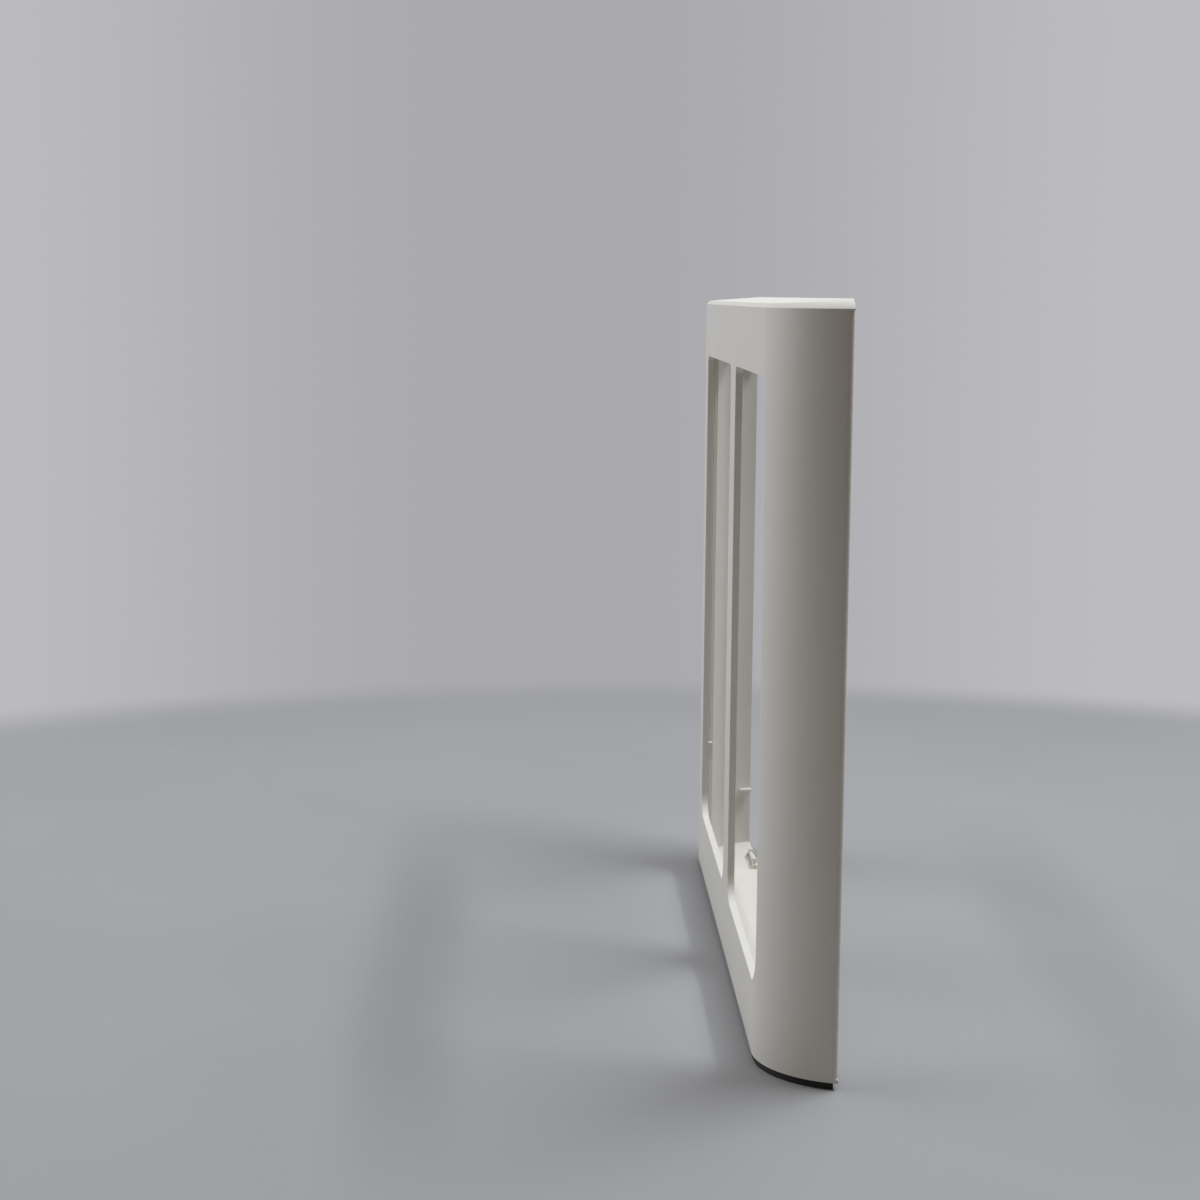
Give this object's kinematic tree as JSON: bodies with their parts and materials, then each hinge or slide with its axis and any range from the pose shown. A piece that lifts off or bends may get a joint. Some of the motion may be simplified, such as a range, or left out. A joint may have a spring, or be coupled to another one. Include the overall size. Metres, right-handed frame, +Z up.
{
  "type": "security gate front frame",
  "caption": "Open-backed plastic front frame with tall windows, curved side covers, end caps, a rubber foot and snap catches.",
  "frame": {"origin": "middle of the base, on the surface that the frame stands on", "axes": "+Z is up along the height, +X is right along the width as seen from the front, and the face looks along -Y"},
  "size_m": [0.264, 0.02, 0.2],
  "materials": {
    "cream_plastic": "satin, finely textured",
    "foot_rubber": "matt"
  },
  "bodies": {
    "frame": {"face_panel": "cream_plastic", "right_side_cover": "cream_plastic", "left_side_cover": "cream_plastic", "top_cap": "cream_plastic", "bottom_cap": "cream_plastic", "base_foot": "foot_rubber", "lower_left_catch_seat": "cream_plastic", "lower_right_catch_seat": "cream_plastic", "upper_left_catch_seat": "cream_plastic", "upper_right_catch_seat": "cream_plastic", "lower_left_ledge": "cream_plastic", "lower_right_ledge": "cream_plastic", "upper_left_ledge": "cream_plastic", "upper_right_ledge": "cream_plastic", "lower_left_pane_stop": "cream_plastic", "lower_right_pane_stop": "cream_plastic", "upper_left_pane_stop": "cream_plastic", "upper_right_pane_stop": "cream_plastic"},
    "lower_left_catch": {"lower_left_catch": "cream_plastic"},
    "lower_right_catch": {"lower_right_catch": "cream_plastic"},
    "upper_left_catch": {"upper_left_catch": "cream_plastic"},
    "upper_right_catch": {"upper_right_catch": "cream_plastic"}
  },
  "joints": [
    {"name": "lower_left_catch_flex", "type": "hinge", "parent": "frame", "child": "lower_left_catch", "pos_m": [-0.0985, 0.0082, 0.0037], "axis": [1, 0, 0], "range_deg": [0, 10], "stiffness_Nm_per_rad": 0.02},
    {"name": "lower_right_catch_flex", "type": "hinge", "parent": "frame", "child": "lower_right_catch", "pos_m": [0.0985, 0.0082, 0.0037], "axis": [1, 0, 0], "range_deg": [0, 10], "stiffness_Nm_per_rad": 0.02},
    {"name": "upper_left_catch_flex", "type": "hinge", "parent": "frame", "child": "upper_left_catch", "pos_m": [-0.0985, 0.0082, 0.1963], "axis": [-1, 0, 0], "range_deg": [0, 10], "stiffness_Nm_per_rad": 0.02},
    {"name": "upper_right_catch_flex", "type": "hinge", "parent": "frame", "child": "upper_right_catch", "pos_m": [0.0985, 0.0082, 0.1963], "axis": [-1, 0, 0], "range_deg": [0, 10], "stiffness_Nm_per_rad": 0.02}
  ]
}
